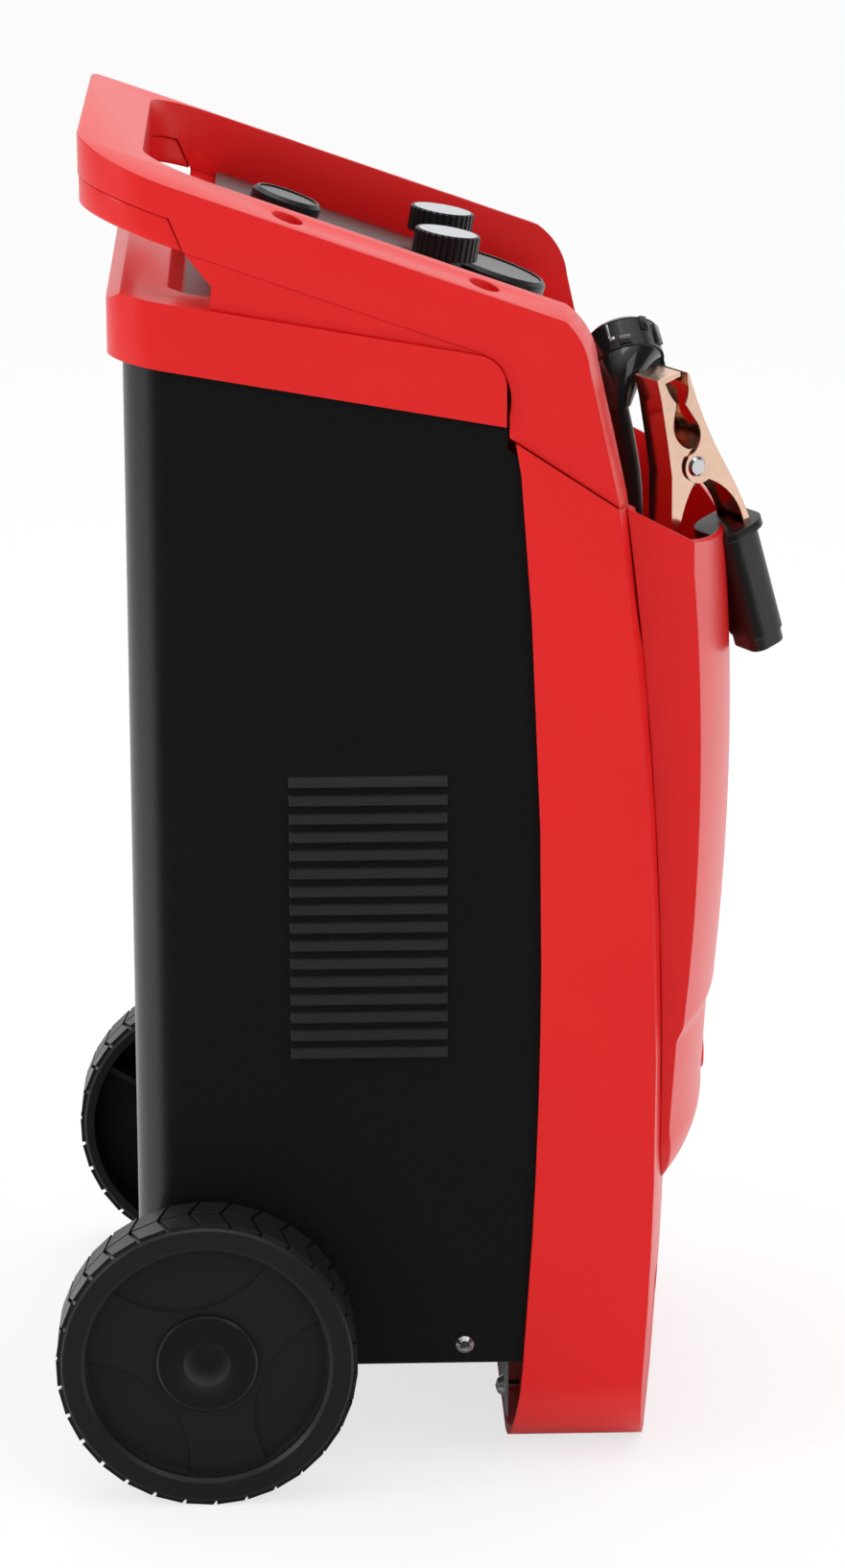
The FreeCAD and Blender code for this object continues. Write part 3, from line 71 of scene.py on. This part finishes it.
def make_camera():
    forward = Vector((math.cos(CAMERA_PITCH) * math.cos(CAMERA_YAW),
                      math.cos(CAMERA_PITCH) * math.sin(CAMERA_YAW),
                      -math.sin(CAMERA_PITCH)))
    right = forward.cross(Vector((0, 0, 1))).normalized()
    up = right.cross(forward)
    turned_right = right * math.cos(CAMERA_ROLL) + up * math.sin(CAMERA_ROLL)
    turned_up = up * math.cos(CAMERA_ROLL) - right * math.sin(CAMERA_ROLL)
    data = bpy.data.cameras.new("camera")
    data.lens = CAMERA_LENS_MM
    data.sensor_width = SENSOR_MM
    data.clip_end = CAMERA_REACH
    cam = link("camera", data)
    turn = Matrix((turned_right, turned_up, -forward)).transposed()
    cam.matrix_world = Matrix.Translation(CAMERA_PLACE) @ turn.to_4x4()
    bpy.context.scene.camera = cam


make_camera()


# Materials. Each has a drift in its colour, grain in its roughness, a fine bump and edges that
# the shader rounds; some have a coat, a broad waviness or a see-through share as well.
FINE_DETAIL = 3
BROAD_DETAIL = 4
LEAST_ROUGHNESS = 0.02
GRAIN_DEPTH = 0.0004
WAVE_DEPTH = 0.002
EDGE_SAMPLES = 4
MIX_FACTOR = 0
COLOUR_A, COLOUR_B, COLOUR_OUT = 6, 7, 2
VALUE_A, VALUE_B, VALUE_OUT = 2, 3, 0


def make_noise(tree, mapping, scale, detail):
    noise = tree.nodes.new("ShaderNodeTexNoise")
    noise.inputs["Scale"].default_value = scale
    noise.inputs["Detail"].default_value = detail
    tree.links.new(mapping.outputs["Vector"], noise.inputs["Vector"])
    return noise


def make_bump(tree, height, normal, strength, depth):
    bump = tree.nodes.new("ShaderNodeBump")
    bump.inputs["Strength"].default_value = strength
    bump.inputs["Distance"].default_value = depth
    tree.links.new(height.outputs["Fac"], bump.inputs["Height"])
    tree.links.new(normal.outputs["Normal"], bump.inputs["Normal"])
    return bump


def make_material(name, colour, rough, metal=0.0, drift=0.06, grain=900.0, bump=0.05, edge=0.0006,
                  coat=0.0, coat_rough=0.1, stretch=(1, 1, 1), rough_spread=0.06, coarse=35.0,
                  waviness=0.0, alpha=1.0, specular=0.5):
    mat = bpy.data.materials.new(name)
    mat.use_nodes = True
    tree = mat.node_tree
    nodes, links = tree.nodes, tree.links
    shader = nodes["Principled BSDF"]
    coords = nodes.new("ShaderNodeTexCoord")
    mapping = nodes.new("ShaderNodeMapping")
    mapping.inputs["Scale"].default_value = stretch
    links.new(coords.outputs["Object"], mapping.inputs["Vector"])
    fine = make_noise(tree, mapping, grain, FINE_DETAIL)
    broad = make_noise(tree, mapping, coarse, BROAD_DETAIL)

    tint = nodes.new("ShaderNodeMix")
    tint.data_type = "RGBA"
    dark = [c * (1 - drift) for c in colour]
    light = [min(c * (1 + drift), 1) for c in colour]
    tint.inputs[COLOUR_A].default_value = (*dark, 1)
    tint.inputs[COLOUR_B].default_value = (*light, 1)
    links.new(broad.outputs["Fac"], tint.inputs[MIX_FACTOR])
    links.new(tint.outputs[COLOUR_OUT], shader.inputs["Base Color"])

    spread = nodes.new("ShaderNodeMapRange")
    spread.inputs["To Min"].default_value = max(rough - rough_spread, LEAST_ROUGHNESS)
    spread.inputs["To Max"].default_value = min(rough + rough_spread, 1)
    links.new(fine.outputs["Fac"], spread.inputs["Value"])
    links.new(spread.outputs["Result"], shader.inputs["Roughness"])

    rounding = nodes.new("ShaderNodeBevel")
    rounding.samples = EDGE_SAMPLES
    rounding.inputs["Radius"].default_value = edge
    normal = make_bump(tree, fine, rounding, bump, GRAIN_DEPTH)
    if waviness:
        normal = make_bump(tree, broad, normal, waviness, WAVE_DEPTH)
    links.new(normal.outputs["Normal"], shader.inputs["Normal"])

    shader.inputs["Metallic"].default_value = metal
    shader.inputs["Coat Weight"].default_value = coat
    shader.inputs["Coat Roughness"].default_value = coat_rough
    shader.inputs["Specular IOR Level"].default_value = specular
    shader.inputs["Alpha"].default_value = alpha
    return mat


# One look per material slot of the record
LOOKS = {
    "red_plastic": make_material(
        "red_plastic_look", (0.70, 0.009, 0.009), 0.33, drift=0.05, grain=1400, bump=0.05,
        edge=0.0012, coat=0.1, coat_rough=0.15, coarse=9, waviness=0.05, specular=0.32),
    "black_sheet": make_material(
        "black_sheet_look", (0.0062, 0.0064, 0.0063), 0.28, drift=0.1, grain=1100, bump=0.06,
        edge=0.0006, coarse=14, waviness=0.05, specular=0.5),
    "grey_steel": make_material(
        "grey_steel_look", (0.30, 0.31, 0.33), 0.4, metal=0.35, grain=800),
    "black_plastic": make_material(
        "black_plastic_look", (0.009, 0.0092, 0.0096), 0.32, drift=0.12, grain=1500, bump=0.1,
        edge=0.0007, coarse=20, waviness=0.04, specular=0.35),
    "wheel_plastic": make_material(
        "wheel_plastic_look", (0.0125, 0.0128, 0.0127), 0.38, drift=0.08, grain=1300, bump=0.12,
        edge=0.0007, coarse=16, waviness=0.04, specular=0.32),
    "bright_steel": make_material(
        "bright_steel_look", (0.72, 0.72, 0.73), 0.2, metal=1, grain=1200, bump=0.04,
        edge=0.0003),
    "clamp_copper": make_material(
        "clamp_copper_look", (0.86, 0.58, 0.44), 0.14, metal=1, drift=0.05, grain=700, bump=0.05,
        edge=0.0004, coarse=60, waviness=0.12),
    "winding_copper": make_material(
        "winding_copper_look", (0.5, 0.2, 0.07), 0.35, metal=0.8, grain=500, bump=0.3,
        stretch=(0.1, 0.1, 4)),
    "core_steel": make_material(
        "core_steel_look", (0.12, 0.12, 0.125), 0.5, metal=0.6, grain=600, bump=0.3,
        stretch=(0.1, 6, 0.1)),
    "plain_aluminium": make_material(
        "plain_aluminium_look", (0.54, 0.56, 0.585), 0.34, metal=0.45, grain=900, bump=0.06,
        edge=0.0003, stretch=(3, 0.15, 1)),
    "soft_black": make_material(
        "soft_black_look", (0.008, 0.0082, 0.0084), 0.34, drift=0.15, grain=900, bump=0.12,
        edge=0.0012, coarse=45, waviness=0.05),
    "plug_black": make_material(
        "plug_black_look", (0.009, 0.0092, 0.0095), 0.14, drift=0.15, grain=1000, bump=0.03,
        edge=0.0009, coat=0.4, coat_rough=0.06, coarse=40, waviness=0.08),
    "diode_black": make_material("diode_black_look", (0.02, 0.02, 0.02), 0.4),
    # The meters' glass is tinted near black and nearly opaque over the dial: a painted dark
    # reflection
    "clear_cover": make_material(
        "clear_cover_painted_dark_look", (0.012, 0.0125, 0.013), 0.12, drift=0.01, bump=0.01, alpha=0.86,
        specular=0.12),
    "dial_white": make_material("dial_white_look", (0.7, 0.7, 0.69), 0.5, drift=0.03),
    "label_grey": make_material(
        "label_grey_look", (0.128, 0.12, 0.13), 0.33, metal=0.3, drift=0.1, grain=1200,
        bump=0.05),
}


# Every mesh is welded and shaded smooth up to an angle, and the nodes in ROUNDED get real
# rounded edges of the given width first
SMOOTH_ANGLE = math.radians(32)
PLANAR_ANGLE = math.radians(1.5)
ROUNDED_ANGLE = math.radians(38)
ROUNDED_SEGMENTS = 4
WELD_DISTANCE = 1e-6
ROUNDED = {
    "handle_frame": 0.0045,
    "top_cover": 0.003,
    "handle_lower_shell": 0.003,
    "console": 0.001,
    "front_panel": 0.0012,
    "clamp_grip_front": 0.002,
    "clamp_grip_rear": 0.002,
}


def smooth_group(angle):
    group = bpy.data.node_groups.new("smooth_by_angle", "GeometryNodeTree")
    for in_out in ("INPUT", "OUTPUT"):
        group.interface.new_socket("Geometry", in_out=in_out, socket_type="NodeSocketGeometry")
    nodes, links = group.nodes, group.links
    start, end = nodes.new("NodeGroupInput"), nodes.new("NodeGroupOutput")
    faces = nodes.new("GeometryNodeSetShadeSmooth")
    faces.domain = "FACE"
    edges = nodes.new("GeometryNodeSetShadeSmooth")
    edges.domain = "EDGE"
    edges.inputs["Shade Smooth"].default_value = False
    fold = nodes.new("GeometryNodeInputMeshEdgeAngle")
    sharp = nodes.new("FunctionNodeCompare")
    sharp.data_type = "FLOAT"
    sharp.operation = "GREATER_THAN"
    sharp.inputs[1].default_value = angle
    links.new(start.outputs[0], faces.inputs["Geometry"])
    links.new(faces.outputs[0], edges.inputs["Geometry"])
    links.new(fold.outputs["Unsigned Angle"], sharp.inputs[0])
    links.new(sharp.outputs[0], edges.inputs["Selection"])
    links.new(edges.outputs[0], end.inputs[0])
    return group


SMOOTH = smooth_group(SMOOTH_ANGLE)


def dress(obj, look):
    obj.data.materials.clear()
    obj.data.materials.append(LOOKS[look])


def soften(obj):
    weld = obj.modifiers.new("weld", "WELD")
    weld.merge_threshold = WELD_DISTANCE
    if obj.name in ROUNDED:
        planar = obj.modifiers.new("planar", "DECIMATE")
        planar.decimate_type = "DISSOLVE"
        planar.angle_limit = PLANAR_ANGLE
        bevel = obj.modifiers.new("bevel", "BEVEL")
        bevel.width = ROUNDED[obj.name]
        bevel.segments = ROUNDED_SEGMENTS
        bevel.limit_method = "ANGLE"
        bevel.angle_limit = ROUNDED_ANGLE
    shade = obj.modifiers.new("smooth", "NODES")
    shade.node_group = SMOOTH


slots = {row["node"]: row["material_slot"] for row in frame["record"]["subparts"]}
for node, obj in frame["nodes"].items():
    dress(obj, slots[node])
    soften(obj)


# Cords: each leaves its gland, lies in a two-layer coil in the pocket and then runs free to its
# end. A loop works out the coil's turns, and the free stretch follows its route's points.
TURN_SPACING = 1.06
COIL_LIFT = 0.4
POINTS_PER_HALF_TURN = 12
CORD_ORDER = 3
CORD_SPAN_STEPS = 4
CORD_SIDE_STEPS = 5


def coil_points(x_up, ahead, r0, r, half_turns, floor_z):
    """Points of the coil, inward in one layer and outward in the next, and where it ends.

    x_up is where the cord enters, r0 is half the outer turn's width and r is half the cord's.
    """
    pitch = 2 * r * TURN_SPACING
    inward = half_turns // 2 - 1
    deepest = 0.5 * inward + 0.25
    steps = [0.5 * k for k in range(inward)] + [deepest, deepest]
    steps += [0.5 * k for k in range(inward - 1, -2, -1)]
    x_mid = x_up + r0
    z_mid = floor_z + COIL_LIFT + r0 + pitch / 4 + r
    # The curve runs inside its points, so they lie further out by this share
    swell = 1 / (0.75 + 0.25 * math.cos(math.pi / POINTS_PER_HALF_TURN))
    joints = []
    for k, step in enumerate(steps):
        rho = (r0 - step * pitch) * (-1 if k % 2 == 0 else 1)
        joints.append(Vector((x_mid + rho, ahead if k <= inward else ahead + pitch, z_mid)))
    points = []
    for k, (here, there) in enumerate(zip(joints, joints[1:])):
        mid, arm = (here + there) / 2, (here - there) / 2
        rise = arm.length if k % 2 == 0 else -arm.length
        for i in range(POINTS_PER_HALF_TURN):
            turn = math.pi * (i + 0.5) / POINTS_PER_HALF_TURN
            side = arm * math.cos(turn) + Vector((0, 0, rise * math.sin(turn)))
            points.append(tuple(mid + side * swell))
    return points, tuple(joints[-1])


def cord_curve(name, points, radius):
    data = bpy.data.curves.new(name, "CURVE")
    data.dimensions = "3D"
    spline = data.splines.new("NURBS")
    spline.points.add(len(points) - 1)
    for spot, (x, ahead, z) in zip(spline.points, points):
        spot.co = (*at(x, ahead, z), 1)
    spline.order_u = CORD_ORDER
    spline.use_endpoint_u = True
    spline.resolution_u = CORD_SPAN_STEPS
    data.bevel_resolution = CORD_SIDE_STEPS
    data.bevel_depth = radius
    data.materials.append(LOOKS["soft_black"])
    return link(name, data)


# Heights of the pocket's floor and of the glands' mouths, and those that a cord leaves them by
floor_z, gland_z = 155.0, 183.0
straight_heights = (gland_z, 200.0, 216.0)

mains_x, mains_ahead = -34.7, 199.0
mains_turns, mains_up = coil_points(mains_x, mains_ahead, r0=66.7, r=5.0, half_turns=10,
                                    floor_z=floor_z)
mains_free = [
    (mains_up[0], mains_up[1], mains_up[2] + 10), (-40.0, 209.6, 298.0), (-40.8, 213.0, 360.0),
    (-39.6, 218.3, 418.0), (-40.2, 219.8, 468.0), (-40.0, 217.6, 500.0), (-40.0, 211.2, 527.0),
]
mains_start = [(mains_x, mains_ahead, z) for z in straight_heights]
mains = cord_curve("mains_flex", mains_start + mains_turns + mains_free, radius=0.005)
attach(mains, "charger")
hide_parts("mains_coil", "mains_cord")

lead_x, lead_ahead = -48.37, 221.0
lead_turns, lead_up = coil_points(lead_x, lead_ahead, r0=67.5, r=5.5, half_turns=6,
                                  floor_z=floor_z)
lead_free = [
    (lead_up[0], lead_up[1], lead_up[2] + 11), (-54.2, 232.7, 284.0), (-57.0, 230.0, 326.0),
    (-54.2, 232.6, 368.0), (-53.9, 234.4, 402.0),
]
lead_start = [(lead_x, lead_ahead, z) for z in straight_heights]
lead = cord_curve("clamp_flex", lead_start + lead_turns + lead_free, radius=0.0055)
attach(lead, "charger")
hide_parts("lead_coil", "clamp_lead")


# Details on the plug's head, one of them a painted highlight: curved plates round its axis, from
# its rim outward along the axis.
# PLUG_OUT is the side of the head that faces the camera, and turns are counted from it.
PLUG_AXIS = Vector((12.0, 3.3, 13.0)).normalized()
PLUG_RIM = at(-22.0, 217.6, 544.6)
PLUG_OUT = Vector((-0.743, 0.089, 0.663))
PLUG_RIGHT = PLUG_AXIS.cross(PLUG_OUT)
PLUG_R = 0.0185
PATCH_SINK = 0.0012
PATCH_BEVEL = 0.0004
PATCH_BEVEL_SEGMENTS = 2
RING_WIDTH = 2 * math.pi * PLUG_R * 0.98


def plug_patch(name, look, turn, low, high, width, lift, parts=6):
    """Plate from low to high along the head, width wide round it and lift proud of it."""
    mesh = bmesh.new()
    half = width / 2 / PLUG_R
    inner, outer = PLUG_R - PATCH_SINK, PLUG_R + lift
    section = ((low, inner), (low, outer), (high, outer), (high, inner))
    rows = []
    for i in range(parts + 1):
        angle = turn - half + 2 * half * i / parts
        out = PLUG_OUT * math.cos(angle) + PLUG_RIGHT * math.sin(angle)
        rows.append([mesh.verts.new(PLUG_RIM + PLUG_AXIS * along + out * reach)
                     for along, reach in section])
    for here, there in zip(rows, rows[1:]):
        for k in range(4):
            mesh.faces.new((here[k], here[(k + 1) % 4], there[(k + 1) % 4], there[k]))
    mesh.faces.new(rows[0][::-1])
    mesh.faces.new(rows[-1])
    bmesh.ops.recalc_face_normals(mesh, faces=mesh.faces)
    data = bpy.data.meshes.new(name)
    mesh.to_mesh(data)
    mesh.free()
    piece = link(name, data)
    data.materials.append(LOOKS[look])
    bevel = piece.modifiers.new("bevel", "BEVEL")
    bevel.width = min(lift, PATCH_BEVEL)
    bevel.segments = PATCH_BEVEL_SEGMENTS
    soften(piece)
    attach(piece, "charger")
    return piece


plug_details = [
    # The first strip is a painted highlight: bright steel laid along the head on its side towards
    # the camera
    plug_patch("plug_painted_highlight_strip", "bright_steel",
               turn=-0.42, low=0.0065, high=0.0150, width=0.0012, lift=0.0004),
    plug_patch("plug_tab", "bright_steel",
               turn=-0.36, low=0.0045, high=0.0068, width=0.0028, lift=0.0008),
    plug_patch("plug_window_frame", "plug_black",
               turn=-0.02, low=0.0010, high=0.0062, width=0.0070, lift=0.0008),
    plug_patch("plug_window", "black_sheet",
               turn=-0.02, low=0.0022, high=0.0050, width=0.0040, lift=0.0010),
    plug_patch("plug_rim_ring", "plug_black",
               turn=0.0, low=0.0153, high=0.0161, width=RING_WIDTH, lift=0.0004, parts=48),
    plug_patch("plug_key_left", "plug_black",
               turn=0.62, low=0.0090, high=0.0165, width=0.0042, lift=0.0012),
    plug_patch("plug_key_right", "plug_black",
               turn=1.10, low=0.0030, high=0.0140, width=0.0052, lift=0.0016),
]


# Floor, world and lamps
def smooth_range(nodes, from_min, from_max, to_min=0.0, to_max=1.0):
    part = nodes.new("ShaderNodeMapRange")
    part.interpolation_type = "SMOOTHSTEP"
    part.inputs["From Min"].default_value = from_min
    part.inputs["From Max"].default_value = from_max
    part.inputs["To Min"].default_value = to_min
    part.inputs["To Max"].default_value = to_max
    return part


FLOOR_HALF = 9.0
FLOOR_WHITE_SHARE = 0.72
FLOOR_DARK = (0.03, 0.03, 0.03, 1)
FLOOR_DARK_FROM, FLOOR_DARK_TO = 0.42, 0.8


def make_floor_look():
    """Pale floor, paler to the camera, and dark in what the charger's left side reflects."""
    mat = make_material("floor_look", (0.96, 0.96, 0.96), 0.8, drift=0.0, bump=0.0, specular=0.1)
    nodes, links = mat.node_tree.nodes, mat.node_tree.links
    paths = nodes.new("ShaderNodeLightPath")
    pale = nodes.new("ShaderNodeEmission")
    share = nodes.new("ShaderNodeMath")
    share.operation = "MULTIPLY"
    share.inputs[1].default_value = FLOOR_WHITE_SHARE
    links.new(paths.outputs["Is Camera Ray"], share.inputs[0])
    seen = nodes.new("ShaderNodeMixShader")
    links.new(share.outputs[0], seen.inputs[0])
    links.new(nodes["Principled BSDF"].outputs[0], seen.inputs[1])
    links.new(pale.outputs[0], seen.inputs[2])

    dark = nodes.new("ShaderNodeEmission")
    dark.inputs["Color"].default_value = FLOOR_DARK
    geometry = nodes.new("ShaderNodeNewGeometry")
    split = nodes.new("ShaderNodeSeparateXYZ")
    links.new(geometry.outputs["Incoming"], split.inputs[0])
    side = smooth_range(nodes, FLOOR_DARK_FROM, FLOOR_DARK_TO)
    links.new(split.outputs["X"], side.inputs["Value"])
    reflected = nodes.new("ShaderNodeMath")
    reflected.operation = "MULTIPLY"
    links.new(side.outputs["Result"], reflected.inputs[0])
    links.new(paths.outputs["Is Glossy Ray"], reflected.inputs[1])
    whole = nodes.new("ShaderNodeMixShader")
    links.new(reflected.outputs[0], whole.inputs[0])
    links.new(seen.outputs[0], whole.inputs[1])
    links.new(dark.outputs[0], whole.inputs[2])
    links.new(whole.outputs[0], nodes["Material Output"].inputs["Surface"])
    return mat


def make_floor():
    mesh = bpy.data.meshes.new("floor")
    s = FLOOR_HALF
    mesh.from_pydata([(-s, -s, 0), (s, -s, 0), (s, s, 0), (-s, s, 0)], [], [(0, 1, 2, 3)])
    floor = link("floor", mesh)
    floor.data.materials.append(make_floor_look())


# What reflections see of the world: per axis, from and to which height of the direction it
# brightens, and how bright it gets. All other rays see an even world.
WORLD_SIDES = (
    ("X", 0.05, 0.5, 0.95),
    ("Y", 0.55, 0.95, 0.5),
    ("Z", 0.6, 0.95, 0.8),
)
WORLD_DARKEST = 0.05
WORLD_EVEN = 0.9


def make_world():
    world = bpy.data.worlds.new("studio")
    world.use_nodes = True
    nodes, links = world.node_tree.nodes, world.node_tree.links
    back = nodes["Background"]
    back.inputs["Color"].default_value = (1, 1, 1, 1)
    paths = nodes.new("ShaderNodeLightPath")
    coords = nodes.new("ShaderNodeTexCoord")
    split = nodes.new("ShaderNodeSeparateXYZ")
    links.new(coords.outputs["Generated"], split.inputs[0])
    best = None
    for axis, low, high, most in WORLD_SIDES:
        part = smooth_range(nodes, low, high, WORLD_DARKEST, most)
        links.new(split.outputs[axis], part.inputs["Value"])
        if best is None:
            best = part.outputs["Result"]
            continue
        larger = nodes.new("ShaderNodeMath")
        larger.operation = "MAXIMUM"
        links.new(best, larger.inputs[0])
        links.new(part.outputs["Result"], larger.inputs[1])
        best = larger.outputs[0]
    amount = nodes.new("ShaderNodeMix")
    amount.inputs[VALUE_A].default_value = WORLD_EVEN
    links.new(paths.outputs["Is Glossy Ray"], amount.inputs[MIX_FACTOR])
    links.new(best, amount.inputs[VALUE_B])
    links.new(amount.outputs[VALUE_OUT], back.inputs["Strength"])
    bpy.context.scene.world = world


# Name, place, what it points at, width and power in watts
LAMPS = (
    ("key", (-1.7, -1.5, 1.9), (0, 0, 0.35), 1.2, 9),
    ("rear", (-0.8, 2.0, 1.2), (0, 0.1, 0.35), 0.6, 9),
    ("top", (0.3, 0.1, 2.4), (0, 0, 0.5), 1.2, 14),
)
LAMP_HEIGHT_SHARE = 1.4


def make_lamps():
    for name, place, aim, size, power in LAMPS:
        data = bpy.data.lights.new(name, "AREA")
        data.shape = "RECTANGLE"
        data.size = size
        data.size_y = size * LAMP_HEIGHT_SHARE
        data.energy = power
        lamp = link(name, data)
        lamp.location = place
        direction = Vector(aim) - Vector(place)
        lamp.rotation_euler = direction.to_track_quat("-Z", "Y").to_euler()


make_floor()
make_world()
make_lamps()
scene = bpy.context.scene
scene.view_settings.view_transform = "Standard"
scene.cycles.use_denoising = True
scene.cycles.max_bounces = 8
